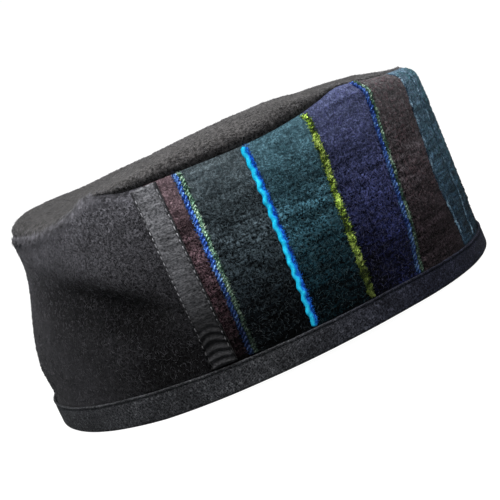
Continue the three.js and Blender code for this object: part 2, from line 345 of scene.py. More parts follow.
class Nodes:
    """A material's nodes, made one by one with their inputs."""

    def __init__(self, name, roughness, specular, sheen=0.0, sheen_roughness=0.4, sheen_tint=WHITE):
        self.material = bpy.data.materials.new(name)
        self.material.use_nodes = True
        self.tree = self.material.node_tree
        self.tree.nodes.clear()
        self.shader = self.add("ShaderNodeBsdfPrincipled", {
            "Roughness": roughness, "Specular IOR Level": specular, "Sheen Weight": sheen,
            "Sheen Roughness": sheen_roughness, "Sheen Tint": sheen_tint,
        })
        self.add("ShaderNodeOutputMaterial", {"Surface": self.shader.outputs["BSDF"]})

    def add(self, kind, inputs=(), **settings):
        made = self.tree.nodes.new(kind)
        for name, value in settings.items():
            setattr(made, name, value)
        for name, value in dict(inputs).items():
            self.put(made.inputs[name], value)
        return made

    def put(self, socket, value):
        if isinstance(value, bpy.types.NodeSocket):
            self.tree.links.new(value, socket)
        else:
            socket.default_value = value[:3] if socket.type == "VECTOR" else value

    def coords(self):
        return self.add("ShaderNodeTexCoord").outputs["Object"]

    def axis(self, letter):
        """The place along one of the cap's axes, in metres."""
        return self.add("ShaderNodeSeparateXYZ", {"Vector": self.coords()}).outputs[letter]

    def cloth(self):
        """The place on the cloth in metres: round the cap or across a ribbon or yarn, and up along it."""
        marked = self.add("ShaderNodeUVMap", uv_map="cloth").outputs["UV"]
        split = self.add("ShaderNodeSeparateXYZ", {"Vector": marked})
        return split.outputs["X"], split.outputs["Y"]

    def attribute(self, name):
        return self.add("ShaderNodeAttribute", attribute_name=name).outputs["Fac"]

    def vector(self, x, y):
        return self.add("ShaderNodeCombineXYZ", {"X": x, "Y": y}).outputs["Vector"]

    def noise(self, size, detail, distortion=0.0, vector=None):
        return self.add("ShaderNodeTexNoise", {
            "Vector": vector or self.coords(), "Scale": 1 / (size * MM), "Detail": detail,
            "Distortion": distortion,
        }).outputs["Fac"]

    def fibres(self, size, seed, width, share):
        """Curled strokes like those of felted wool: 1 along each stroke and 0 between them."""
        shifted = self.add("ShaderNodeVectorMath", {0: self.coords(), 1: (seed, 0.7 * seed, 0.3 * seed)})
        curls = self.noise(size, 1, 0.9, shifted.outputs[0])
        off_line = self.math("ABSOLUTE", self.math("SUBTRACT", curls, 0.5))
        pieces = self.noise(size * 1.3, 1, 0.0, shifted.outputs[0])
        return self.math(
            "MULTIPLY", self.span(off_line, 0.25 * width, width, 1, 0),
            self.span(pieces, share, share + 0.12, 0, 1),
        )

    def grey_ramp(self, factor, rows):
        return self.ramp(factor, [(height / SHADE_REACH, (part, part, part, 1)) for height, part in rows])

    def shade(self, colour, along, rows, other_rows=None, places=(0, 1), weight=1):
        """
        The colour times a share that changes up the cloth, as rows of mm and share, which paints shade and
        light. The share goes over to the other rows between two places along the oval's length, as far as
        their weight allows.
        """
        up = self.span(along, 0, SHADE_REACH * MM, 0, 1)
        share = self.grey_ramp(up, rows)
        if other_rows:
            other_part = self.span(self.axis("Y"), places[0] * MM, places[1] * MM, 0, 1)
            share = self.mix(self.math("MULTIPLY", other_part, weight), share, self.grey_ramp(up, other_rows))
        return self.mix(1.0, colour, share, "MULTIPLY")

    def vary(self, colour, patches, least, most):
        """The colour made darker and lighter in patches."""
        return self.scale(colour, self.span(patches, 0.3, 0.7, least, most))

    def span(self, value, from_low, from_high, to_low, to_high):
        return self.add("ShaderNodeMapRange", {
            "Value": value, "From Min": from_low, "From Max": from_high, "To Min": to_low, "To Max": to_high,
        }).outputs["Result"]

    def math(self, operation, first, second=0.0):
        made = self.add("ShaderNodeMath", operation=operation)
        self.put(made.inputs[0], first)
        self.put(made.inputs[1], second)
        return made.outputs[0]

    def strongest(self, first, *others):
        for other in others:
            first = self.math("MAXIMUM", first, other)
        return first

    def waves(self, place_of, length):
        return self.math("SINE", self.math("MULTIPLY", place_of, 2 * math.pi / (length * MM)))

    def mix(self, factor, first, second, blend="MIX"):
        made = self.add("ShaderNodeMix", data_type="RGBA", blend_type=blend)
        # a Mix node has sockets for several kinds of value under the same names: these are for colours
        self.put(made.inputs[0], factor)
        self.put(made.inputs[6], first)
        self.put(made.inputs[7], second)
        return made.outputs[2]

    def scale(self, colour, value):
        made = self.add("ShaderNodeVectorMath", operation="SCALE")
        self.put(made.inputs[0], colour)
        self.put(made.inputs["Scale"], value)
        return made.outputs[0]

    def ramp(self, factor, stops, interpolation="LINEAR"):
        made = self.add("ShaderNodeValToRGB", {"Fac": factor})
        made.color_ramp.interpolation = interpolation
        elements = made.color_ramp.elements
        while len(elements) < len(stops):
            elements.new(0.5)
        for element, (position, colour) in zip(elements, stops):
            element.position = position
        for element, (position, colour) in zip(elements, stops):
            element.color = colour
        return made.outputs["Color"]

    def bump(self, height, distance, strength=1.0, normal=None):
        made = self.add("ShaderNodeBump", {"Height": height, "Distance": distance * MM, "Strength": strength})
        if normal is not None:
            self.put(made.inputs["Normal"], normal)
        return made.outputs["Normal"]

    def finish(self, colour, normal=None):
        self.put(self.shader.inputs["Base Color"], colour)
        if normal is not None:
            self.put(self.shader.inputs["Normal"], normal)
        return self.material


# The striped cloth. Its stripes are set out in mm from the front centre, and the wearer's right is
# positive. At each height the cloth lies a little along from that, by the lines in the photograph.
LINE_HEIGHTS = np.array([12, 20, 30, 40, 50, 60, 75, 81])
LINES = {
    32.5: (31, 32, 33, 33.5, 31.5, 30.2, 28.5, 28.5),
    55.5: (61.5, 59.7, 58, 56.8, 55.6, 54.2, 52.5, 53),
    82.0: (84.5, 83.9, 83.1, 82.4, 81.8, 80.7, 79.7, 82),
    105.2: (107, 106.5, 105.9, 105.4, 105, 104.7, 104.6, 105.6),
    130.0: (130.8, 130.7, 130.4, 130.1, 129.9, 129.6, 129.3, 129.4),
}
EDGE = 141.8
STRIPE_KNOTS = np.array([-EDGE, *[-k for k in sorted(LINES, reverse=True)], 0, *sorted(LINES), EDGE])


def line_knots(along):
    """Where the knots of the stripes lie at each height: an array with a last axis over the knots."""
    right = [np.interp(along, LINE_HEIGHTS, LINES[k]) for k in sorted(LINES)]
    edge, zero = np.full_like(right[0], EDGE), np.zeros_like(right[0])
    return np.stack([-edge, *[-k for k in right[::-1]], zero, *right, edge], -1)


def lookup(value, knots_from, knots_to):
    """Straight-line lookup of value between knots that differ from point to point."""
    result = np.zeros_like(value)
    for index in range(knots_from.shape[-1] - 1):
        a, b = knots_from[..., index], knots_from[..., index + 1]
        inside = (value >= a) & (value <= b)
        part = (value - a) / (b - a)
        result = np.where(inside, knots_to[..., index] * (1 - part) + knots_to[..., index + 1] * part, result)
    return result


def stripe_at(arc, along):
    knots = line_knots(along)
    return lookup(np.clip(arc, -EDGE, EDGE), knots, np.broadcast_to(STRIPE_KNOTS, knots.shape))


def arc_of_stripe(stripe, along):
    knots = line_knots(along)
    return lookup(np.full_like(along, stripe), np.broadcast_to(STRIPE_KNOTS, knots.shape), knots)


CHARCOAL = srgb(56, 71, 80)
TEAL = srgb(45, 97, 114)
NAVY = srgb(39, 46, 101)
MAROON = srgb(112, 82, 91)
BROWN = srgb(59, 47, 53)
FRONT_TEAL = srgb(62, 95, 120)
# where each field starts, in mm from the front centre
FIELDS = (
    (-142, NAVY), (-118, TEAL), (-96, CHARCOAL), (-72, BROWN), (-52, NAVY), (-24, FRONT_TEAL),
    (32.5, BROWN), (55.0, NAVY), (82.0, TEAL), (105.0, CHARCOAL), (130.2, MAROON),
)
# every raised yarn: its colour and its place in mm from the front centre
YARNS = (
    ("blue", 130.1), ("green", 128.6), ("cyan", 105.6), ("deep_blue", 104.65), ("yellow", 82.0),
    ("blue", 56.7), ("green", 55.0), ("pale_blue", 32.5), ("pale_blue", 18.5), ("yellow", -24.0),
    ("green", -51.5), ("blue", -52.9), ("pale_blue", -72.0), ("deep_blue", -95.25), ("cyan", -96.2),
    ("yellow", -118.0),
)
YARN_COLUMNS = (
    "plies", "radius", "lay", "pitch", "wave", "wave_length", "lumps", "lump_length", "fibres",
    "fibre_length",
)
# radius: of one ply, lay: how far the plies lie from the yarn's middle, pitch: length of a turn,
# wave: how far the yarn strays at each wave_length, lumps: how much its thickness changes,
# fibres: how many stand loose on one yarn
YARN_KINDS = {
    "cyan": (1, 0.98, 0.06, 5.2, 0.24, 4.4, 0.10, 2.1, 300, 0.8),
    "deep_blue": (2, 0.30, 0.20, 3.1, 0.24, 4.4, 0.35, 1.3, 1300, 1.2),
    "blue": (2, 0.52, 0.46, 3.3, 0.12, 7.0, 0.25, 1.2, 700, 0.9),
    "green": (2, 0.46, 0.38, 2.3, 0.15, 7.0, 0.30, 0.8, 1100, 1.1),
    "yellow": (4, 0.34, 0.78, 3.0, 0.36, 5.3, 0.65, 0.9, 1300, 1.3),
    "pale_blue": (2, 0.22, 0.28, 1.8, 0.25, 8.0, 0.40, 1.0, 600, 1.2),
}


def front_relief(arc, along, stripe):
    """How far the striped cloth's face stands out: ripples, slack between the yarns and puckers at them."""
    ripple = 0.15 * noise(arc / 7, along / 1.4, 11) + 0.07 * noise(arc / 2.2, along / 0.9, 12)
    slack = 0.35 * noise(arc / 17, along / 15, 13) + 0.14 * noise(arc / 6, along / 5, 14)
    nearest = np.min([np.abs(stripe - place_of) for kind, place_of in YARNS], axis=0)
    pucker = -0.3 * np.exp(-(nearest / 2.0) ** 2) + 0.12 * np.exp(-((nearest - 5) / 3) ** 2)
    return ripple + slack + pucker


def back_relief(arc, along):
    nap = 0.09 * noise(arc / 1.3, along / 1.2, 21) + 0.1 * noise(arc / 3, along / 2.8, 22)
    return nap + 0.35 * noise(arc / 19, along / 16, 23) + 0.14 * noise(arc / 8, along / 6, 24)


# Materials of the cloths, the yarns, the thread and the nap
def plain_wool():
    """Napped charcoal wool: curled light fibres on dark ground, with painted shade at the foot and in
    hollows.
    """
    nodes = Nodes("plain_wool", 0.95, 0.04, 0.04)
    along = nodes.cloth()[1]
    strokes = nodes.strongest(
        nodes.fibres(0.9, 1, 0.08, 0.45), nodes.fibres(0.6, 2, 0.1, 0.45),
        nodes.span(nodes.noise(0.5, 3, 1.4), 0.45, 0.72, 0.04, 0.66),
    )
    # the nap is smoother towards the back; along the upper edge it is smoother and lighter, painted light
    # that takes away the shade under the crown's seam
    smooth = nodes.span(nodes.axis("Y"), 22 * MM, 64 * MM, 0, 0.75)
    strokes = nodes.span(smooth, 0, 1, strokes, 0.42)
    strokes = nodes.span(nodes.attribute("edge"), 0, 1, strokes, nodes.span(strokes, 0, 1, 0.3, 0.65))
    broad = nodes.noise(8, 3, 0.6)
    colour = nodes.vary(nodes.mix(strokes, srgb(12, 12, 14), srgb(116, 115, 121)), broad, 0.78, 1.22)
    # painted shade: the wearer's right side, pushed in more than the left, takes the darker side shades in
    # full, the left only in part
    right_side_shade_weight = nodes.span(nodes.axis("X"), -30 * MM, 30 * MM, 1, 0.4)
    colour = nodes.shade(colour, along, BACK_SHADES, SIDE_SHADES, BACK_TO_SIDE, right_side_shade_weight)
    # painted shade, darker the deeper the hollow of a fold
    colour = nodes.scale(colour, nodes.span(nodes.attribute("hollow"), 0.08, 0.8, 1, 0.26))
    return nodes.finish(colour, nodes.bump(broad, 0.3, 0.5, nodes.bump(strokes, 0.22)))


def striped_wool():
    """The striped cloth: fields of colour with frayed borders, flecked with pale fibres and rippled along."""
    nodes = Nodes("striped_wool", 0.95, 0.03, 0.03)
    around, along = nodes.cloth()
    fray = nodes.span(nodes.noise(1.1, 3, 0.8), 0.2, 0.8, -0.8 * MM, 0.8 * MM)
    reach = 150 * MM
    stops = [((start * MM + reach) / (2 * reach), colour) for start, colour in FIELDS]
    base = nodes.ramp(nodes.span(nodes.math("ADD", around, fray), -reach, reach, 0, 1), stops, "CONSTANT")
    strokes = nodes.strongest(
        nodes.fibres(0.85, 3, 0.12, 0.5), nodes.fibres(0.6, 4, 0.13, 0.5),
        nodes.span(nodes.noise(0.55, 3, 1.6), 0.5, 0.68, 0, 0.75),
    )
    # the nap is smoother towards the crown and at the front centre; towards the crown its fibres turn
    # paler and greyer, a painted sheen of the light from above
    upper = nodes.span(along, 50 * MM, 72 * MM, 0, 1)
    smooth_share = nodes.strongest(upper, nodes.span(nodes.axis("Y"), -76 * MM, -88 * MM, 0, 0.6))
    strokes = nodes.span(smooth_share, 0, 1, strokes, nodes.span(strokes, 0, 1, 0.22, 0.68))
    painted_sheen_share = nodes.span(along, 24 * MM, 74 * MM, 0.08, 0.42)
    light = nodes.mix(painted_sheen_share, nodes.scale(base, 3.6), srgb(165, 172, 170))
    colour = nodes.mix(strokes, nodes.scale(base, 0.02), light)
    # ripples run round the cap, with painted shade and light on their bands, and are slighter towards the
    # crown
    ripple = nodes.noise(1.9, 2, 0.8, nodes.vector(nodes.math("MULTIPLY", around, 0.14), along))
    ripple_shade = nodes.span(ripple, 0.36, 0.64, 0.35, 1.65)
    colour = nodes.scale(colour, nodes.span(upper, 0, 1, ripple_shade, nodes.span(ripple, 0.34, 0.66, 0.8, 1.2)))
    colour = nodes.vary(colour, nodes.noise(9, 3, 0.5), 0.75, 1.25)
    # painted shade and light by mm up the cloth
    colour = nodes.shade(colour, along, WALL_SHADES, FRONT_SHADES, SIDE_TO_FRONT)
    return nodes.finish(colour, nodes.bump(ripple, 0.3, 0.7, nodes.bump(strokes, 0.2)))


def ribbon_material():
    nodes = Nodes("ribbon", 0.8, 0.1, 0.04)
    across, along = nodes.cloth()
    ribs = nodes.noise(0.4, 2, 0.3, nodes.vector(nodes.math("MULTIPLY", across, 0.3), along))
    threads = nodes.noise(0.6, 3, 0.5)
    level = nodes.math("ADD", nodes.math("MULTIPLY", ribs, 0.55), nodes.math("MULTIPLY", threads, 0.45))
    colour = nodes.mix(nodes.span(level, 0.38, 0.62, 0, 1), srgb(58, 58, 61), srgb(144, 144, 148))
    colour = nodes.vary(colour, nodes.noise(4, 2), 0.78, 1.22)
    # painted shade: the ribbon is darker outside each row of stitches, where its edge is drawn down, and
    # darker towards the foot
    off_middle = nodes.math("ABSOLUTE", across)
    edge_shade = nodes.span(off_middle, (STITCH_ROW - 0.6) * MM, (STITCH_ROW - 0.1) * MM, 1, 0.3)
    colour = nodes.shade(nodes.scale(colour, edge_shade), along, RIBBON_SHADES)
    return nodes.finish(colour, nodes.bump(level, 0.15))


def binding_material():
    nodes = Nodes("binding", 0.8, 0.08, 0.02)
    around, along = nodes.cloth()
    slanting = nodes.vector(nodes.math("ADD", around, along), nodes.math("SUBTRACT", around, along))
    weave = nodes.add("ShaderNodeTexChecker", {
        "Vector": slanting, "Scale": 1 / (0.5 * MM), "Color1": (0, 0, 0, 1), "Color2": WHITE,
    }).outputs["Fac"]
    level = nodes.math("ADD", nodes.math("MULTIPLY", weave, 0.2), nodes.noise(0.7, 3, 0.4))
    colour = nodes.mix(nodes.span(level, 0.48, 0.76, 0, 1), srgb(5, 5, 6), srgb(62, 63, 66))
    specks = nodes.span(nodes.noise(0.9, 2, 1.2), 0.58, 0.68, 0, 0.65)
    colour = nodes.mix(specks, colour, srgb(102, 103, 106))
    # it is darker and bluer round the front
    bluer = nodes.mix(1.0, colour, (0.46, 0.49, 0.76, 1), "MULTIPLY")
    colour = nodes.mix(nodes.span(nodes.axis("Y"), -25 * MM, -75 * MM, 0, 1), colour, bluer)
    colour = nodes.vary(colour, nodes.noise(9, 3), 0.7, 1.3)
    return nodes.finish(colour, nodes.bump(level, 0.12))


def crown_material():
    nodes = Nodes("crown_wool", 0.92, 0.08, 0.12, sheen_tint=(1, 0.99, 0.97, 1))
    fine = nodes.span(nodes.noise(0.9, 4, 0.8), 0.4, 0.68, 0, 0.85)
    strokes = nodes.strongest(nodes.fibres(1.1, 5, 0.09, 0.55), fine)
    colour = nodes.mix(strokes, srgb(24, 23, 23), srgb(80, 78, 78))
    colour = nodes.vary(colour, nodes.noise(14, 3, 0.5), 0.8, 1.2)
    # it is a little darker towards the back
    colour = nodes.scale(colour, nodes.span(nodes.axis("Y"), 5 * MM, 60 * MM, 1, 0.66))
    return nodes.finish(colour, nodes.bump(nodes.noise(3.5, 3), 0.25, 0.5, nodes.bump(strokes, 0.14)))


def yarn_material(name, colours, hatch, patches, shades, front_shades=None):
    """Yarn with slanting turns, fine strands, and stretches that are fuller or duller in colour."""
    dark, mid, light = colours
    nodes = Nodes(name, 0.7, 0.15, 0.25, 0.35, mid)
    across, along = nodes.cloth()
    turns = nodes.waves(nodes.math("ADD", along, nodes.math("MULTIPLY", across, 0.7)), HATCH)
    strands = nodes.noise(0.9, 3, 1.4)
    stretches = nodes.span(nodes.noise(6, 2, 0.3), 0.35, 0.65, -patches, 0.4 * patches)
    level = nodes.math("ADD", nodes.math("ADD", strands, stretches), nodes.math("MULTIPLY", turns, hatch))
    colour = nodes.ramp(level, [(0.38, dark), (0.5, mid), (0.62, light)])
    # painted shade and light by mm above the floor
    colour = nodes.shade(colour, nodes.axis("Z"), shades, front_shades, SIDE_TO_FRONT)
    return nodes.finish(colour, nodes.bump(strands, 0.12))


def two_tone_yarn(name, colours, shades):
    """Smooth yarn whose two sides differ in colour, as where two strands lie side by side in it."""
    left, right, light = colours
    nodes = Nodes(name, 0.6, 0.2, 0.25, 0.35, left)
    across, along = nodes.cloth()
    border = nodes.math("ADD", across, nodes.math("MULTIPLY", nodes.waves(along, 2.6), 0.2 * MM))
    strands = nodes.noise(0.7, 3, 1.0)
    colour = nodes.mix(nodes.span(border, -0.8 * MM, 0.1 * MM, 1, 0), left, right)
    colour = nodes.mix(nodes.span(strands, 0.5, 0.66, 0, 0.5), colour, light)
    colour = nodes.scale(colour, nodes.span(strands, 0.3, 0.5, 0.7, 1))
    # painted shade and light by mm above the floor
    colour = nodes.shade(colour, nodes.axis("Z"), shades)
    return nodes.finish(colour, nodes.bump(strands, 0.12))


def thread_material():
    nodes = Nodes("thread", 0.45, 0.4)
    level = nodes.span(nodes.noise(3.5, 2), 0.35, 0.65, 0, 1)
    colour = nodes.mix(level, srgb(70, 70, 74), srgb(185, 185, 190))
    # painted shade by mm above the floor
    colour = nodes.shade(colour, nodes.axis("Z"), THREAD_SHADES)
    return nodes.finish(colour, nodes.bump(nodes.noise(0.2, 2), 0.05))


def nap_material(name, colour, shades):
    """Loose fibres of one colour, some duller and some fuller, with painted shade by height."""
    nodes = Nodes(name, 0.8, 0.1, 0.08)
    speckled = nodes.vary(colour, nodes.noise(2.5, 2), 0.4, 1.6)
    return nodes.finish(nodes.shade(speckled, nodes.axis("Z"), shades))


# Painted shade and light: the share of its full colour that each cloth shows, by mm up it, stands in
# for the light from above, so it darkens towards the foot. BACK and SIDE are for the plain cloth at the
# back and near the side joins, WALL and FRONT for the striped cloth at the sides and round the front.
# Thread, yarns and nap go by mm above the floor instead.
BACK_SHADES = ((8, 0.3), (20, 0.25), (32, 0.25), (46, 0.38), (56, 0.51), (64, 0.77), (76, 1.08))
SIDE_SHADES = (
    (8, 0.12), (14, 0.045), (20, 0.04), (28, 0.17), (36, 0.19), (46, 0.31), (54, 0.52), (62, 0.74),
    (70, 0.92), (76, 1.5),
)
WALL_SHADES = (
    (9, 0.028), (14, 0.02), (20, 0.027), (28, 0.072), (37, 0.19), (47, 0.48), (54, 0.49), (60, 0.29),
    (68, 0.78), (76, 1.0),
)
FRONT_SHADES = (
    (8, 0.18), (14, 0.26), (20, 0.22), (28, 0.33), (37, 0.47), (44, 0.54), (54, 0.62), (60, 0.54), (68, 0.9),
    (76, 0.72),
)
RIBBON_SHADES = (
    (8, 0.11), (14, 0.15), (20, 0.07), (28, 0.085), (36, 0.25), (46, 0.46), (54, 0.58), (60, 0.61), (68, 0.8),
    (75, 0.8),
)
THREAD_SHADES = ((8, 0.12), (24, 0.16), (34, 0.35), (46, 0.7), (60, 0.85), (75, 0.9))
BACK_NAP_SHADES = ((8, 0.42), (24, 0.4), (36, 0.45), (50, 0.62), (62, 0.8), (76, 0.85))
NAP_SHADES = ((9, 0.14), (20, 0.14), (28, 0.2), (37, 0.38), (47, 0.55), (60, 0.55), (70, 0.7), (80, 0.7))
BLUE_SHADES = ((8, 0.06), (22, 0.09), (36, 0.38), (50, 1.5), (64, 1.4), (78, 1.2))
BLUE_FRONT_SHADES = ((8, 0.2), (22, 0.2), (36, 0.38), (50, 0.48), (64, 0.7), (78, 0.6))
CYAN_SHADES = ((8, 0.65), (22, 0.8), (36, 0.98), (50, 1.05), (60, 1.0))
YELLOW_SHADES = ((8, 0.16), (22, 0.15), (36, 0.95), (47, 1.25), (54, 0.8), (63, 0.45), (68, 0.75), (74, 1.6))
PALE_SHADES = ((8, 0.8), (22, 0.8), (36, 0.55), (50, 0.5), (64, 0.9), (78, 0.6))
# where one table goes over to the other, in mm along the oval's length
BACK_TO_SIDE = (54, 22)
SIDE_TO_FRONT = (-62, -78)
# spacing of the slanting turns of the yarns
HATCH = 1.3
PLAIN = plain_wool()
STRIPED = striped_wool()
CROWN = crown_material()
RIBBON = ribbon_material()
BINDING = binding_material()
THREAD = thread_material()
BLUE_COLOURS = srgb(18, 44, 116), srgb(62, 108, 196), srgb(144, 190, 240)
GREEN_COLOURS = srgb(34, 60, 48), srgb(124, 168, 142), srgb(220, 240, 215)
CYAN_COLOURS = srgb(16, 202, 250), srgb(6, 128, 236), srgb(80, 236, 255)
DEEP_COLOURS = srgb(3, 48, 150), srgb(10, 98, 222), srgb(44, 150, 250)
YELLOW_COLOURS = srgb(32, 44, 20), srgb(154, 190, 64), srgb(232, 252, 140)
PALE_COLOURS = srgb(44, 66, 84), srgb(104, 138, 162), srgb(176, 208, 228)
YARN = {
    "blue": yarn_material("yarn_blue", BLUE_COLOURS, 0.03, 0.1, BLUE_SHADES, BLUE_FRONT_SHADES),
    "green": yarn_material("yarn_green", GREEN_COLOURS, 0.03, 0.15, BLUE_SHADES, BLUE_FRONT_SHADES),
    "cyan": two_tone_yarn("yarn_cyan", CYAN_COLOURS, CYAN_SHADES),
    "deep_blue": yarn_material("yarn_deep_blue", DEEP_COLOURS, 0.03, 0.1, CYAN_SHADES),
    "yellow": yarn_material("yarn_yellow", YELLOW_COLOURS, 0.05, 0.2, YELLOW_SHADES),
    "pale_blue": yarn_material("yarn_pale_blue", PALE_COLOURS, 0.05, 0.2, PALE_SHADES),
}


# Walls
# mm of fold that count as the deepest hollow
DEEP_FOLD = 4


def wall_piece(name, from_angle, to_angle, columns, rows, relief, stripes):
    """A closed length of wall cloth, finely meshed outside and plain inside."""
    start, end = arc_at(from_angle), arc_at(to_angle)
    arcs = np.linspace(start, end, columns)[:, None]
    angles = angle_at(arcs)
    foot, band, top = foot_rise(angles) + FOOT, band_top(angles), wall_rise(angles)
    # the last row is short, so that the shading turns at the very edge
    along = foot + (top - foot) * np.append(np.linspace(0, 0.998, rows - 1), 1)
    arc = np.broadcast_to(arcs, along.shape)
    stripe = stripe_at(arc, along) if stripes else arc
    out = relief(arc, along, stripe) if stripes else relief(arc, along)
    # the relief fades out under the binding and towards the other edges
    out = out * smooth_step(band - 3, band + 1.5, along) * (1 - smooth_step(top - 2.5, top - 0.5, along))
    outer = cloth_point(arc, along, out * edge_fade(arc, start, end, 2.5))
    inner_along = foot + (top - foot) * np.linspace(1, 0, INNER_ROWS)
    inner_arc = np.broadcast_to(arcs, inner_along.shape)
    waver = 0.12 * noise(inner_arc / 7, inner_along / 7, 31) * edge_fade(inner_arc, start, end)
    inner = cloth_point(inner_arc, inner_along, waver - CLOTH)
    made = make_strip(name, outer, inner, (stripe, along), (inner_arc, inner_along))
    # what the material reads for its painted shade and light: how deep in a fold the outer face lies, and
    # how near its upper edge
    hollow, edge = np.zeros((2, columns, rows + INNER_ROWS))
    hollow[:, :rows] = np.clip(fold_depth(angles, outer[..., 2]) / DEEP_FOLD, 0, 1)
    edge[:, :rows] = smooth_step(top - 6, top - 1.5, along)
    for word, values in (("hollow", hollow), ("edge", edge)):
        layer = made.data.attributes.new(word, "FLOAT", "POINT")
        layer.data.foreach_set("value", values.astype(np.float32).ravel())
    return made


def angle_of(length):
    """Angle round the oval that spans a length of cloth at the side joins."""
    return float(angle_at(arc_at(JOIN_ANGLE) + length)) - JOIN_ANGLE


gap = angle_of(GAP / 2)
front_panel = finish_piece(
    wall_piece("striped_front", -JOIN_ANGLE + gap, JOIN_ANGLE - gap, 300, 118, front_relief, True),
    STRIPED, ["front_panel"],
)
back_wall = finish_piece(
    wall_piece("plain_back", JOIN_ANGLE + gap, 360 - JOIN_ANGLE - gap, 300, 110, back_relief, False),
    PLAIN, ["back_wall"],
)


# Crown
def crown_relief(angle, sweep):
    """How far the crown's face stands off its smooth form: a swell, slack, soft folds and fine lumps."""
    turn = np.radians(angle)
    x, y = np.sin(turn) * (1 - sweep), np.cos(turn) * (1 - sweep)
    swell = 0.9 * np.exp(-((x - 0.15) / 0.25) ** 2 - ((y + 0.05) / 0.25) ** 2)
    slack = 0.55 * noise(x * 3.2, y * 3.2, 41) + 0.3 * noise(x * 9, y * 9, 42)
    folds = 0.4 * noise(angle / 11, sweep * 2, 44) * np.exp(-((sweep - 0.22) / 0.16) ** 2)
    lumps = 0.07 * noise(x * 60, y * 60, 43)
    return swell + (slack + folds + lumps) * smooth_step(0.02, 0.2, sweep)


def make_crown():
    columns, rows = 320, 64
    # the rows lie closest at the crown's edge, and the last stops short of its middle
    last_sweep, row_power = 0.985, 1.35
    angles = np.linspace(-180, 180, columns, endpoint=False)[:, None]
    angle, sweep = np.broadcast_arrays(angles, np.linspace(0, last_sweep, rows)[None, :] ** row_power)
    outer = crown_point(angle, sweep, 0)
    normal = np.cross(np.gradient(outer, axis=1), np.gradient(outer, axis=0))
    normal /= np.maximum(np.linalg.norm(normal, axis=-1, keepdims=True), 1e-9)
    normal *= np.where(normal[..., 2:] < 0, -1, 1)
    outer = outer + normal * crown_relief(angle, sweep)[..., None]
    inner_sweeps = np.linspace(last_sweep, 0, INNER_ROWS)[None, :] ** row_power
    inner = crown_point(*np.broadcast_arrays(angles, inner_sweeps), CLOTH)
    tips = [[0, 0, CENTRE_TOP], [0, 0, CENTRE_TOP - CLOTH]]
    points = np.concatenate([np.concatenate([outer, inner], 1).reshape(-1, 3), tips])
    size = rows + INNER_ROWS
    faces = loop_faces(columns, size, True)
    # the innermost rows aren't joined to each other: a fan closes the outer face, and another the inner one
    faces = faces[faces[:, 0] % size != rows - 1]
    here = np.arange(columns) * size + rows
    after = np.roll(here, -1)
    outer_fan = np.stack([here - 1, np.full(columns, len(points) - 2), after - 1], -1)
    inner_fan = np.stack([here, after, np.full(columns, len(points) - 1)], -1)
    return make_mesh("felt_crown", points, np.concatenate([in_triangles(faces), outer_fan, inner_fan]))


crown = finish_piece(make_crown(), CROWN, ["crown"])


# Ribbons and their stitches
def ribbon_out(across, along, side):
    """Height of the ribbon's face over the cloth: gathers low down and a groove at each row of stitches."""
    gathers = 0.45 * np.cos(
        2 * np.pi * (along + 0.06 * across ** 2) / 2.7 + 1.5 * noise(across / 5, along / 8, 53 + side)
    )
    gathers *= smooth_step(9, 13, along) * (1 - smooth_step(22, 29, along))
    groove = -0.35 * np.exp(-((np.abs(across) - STITCH_ROW) / 0.45) ** 2)
    lumps = 0.16 * noise(across / 5, along / 6, 55 + side) + 0.09 * noise(across / 2, along / 0.8, 51 + side)
    creases = 0.1 * noise(across / 6, along / 1.5, 59 + side)
    return GAP + TAPE * 0.92 + gathers + groove + lumps + creases


def ribbon_limits(centre):
    """The mm of cloth at which a ribbon starts over the binding and ends on the wall's shoulder."""
    radius, turn, start = shoulder(centre)
    return float(band_top(centre) + 2 * GAP), float(start + RIBBON_TOP_TURN * radius * turn)


def make_ribbon(name, centre, side):
    low_edge, high_edge = ribbon_limits(centre)
    columns, rows = 36, 300
    half = RIBBON_WIDTH / 2 - 0.1
    across, along = np.meshgrid(
        np.linspace(-half, half, columns), np.linspace(low_edge, high_edge, rows), indexing="ij",
    )
    edge = np.abs(across) / half
    ragged = 0.12 * noise(across / 3, along / 1.4, 57 + side) * edge ** 4
    rounding = 0.35 * np.maximum(0, (edge - 0.9) / 0.1) ** 2
    rounding = rounding + 0.3 * (1 - edge_fade(along, low_edge, high_edge, 0.6))
    outer = cloth_point(arc_at(centre) + across + ragged, along, ribbon_out(across, along, side) - rounding)
    inner_along = np.linspace(high_edge, low_edge, INNER_ROWS)
    inner_across, inner_along = np.meshgrid(across[:, 0], inner_along, indexing="ij")
    inner = cloth_point(arc_at(centre) + inner_across, inner_along, np.full(inner_along.shape, GAP))
    return make_strip(name, outer, inner, (across, along), (inner_across, inner_along))


# The tubes of plies and stitches: how many sides they have, and how flat they lie
TUBE_SIDES = 6
TUBE_FLATNESS = 0.8


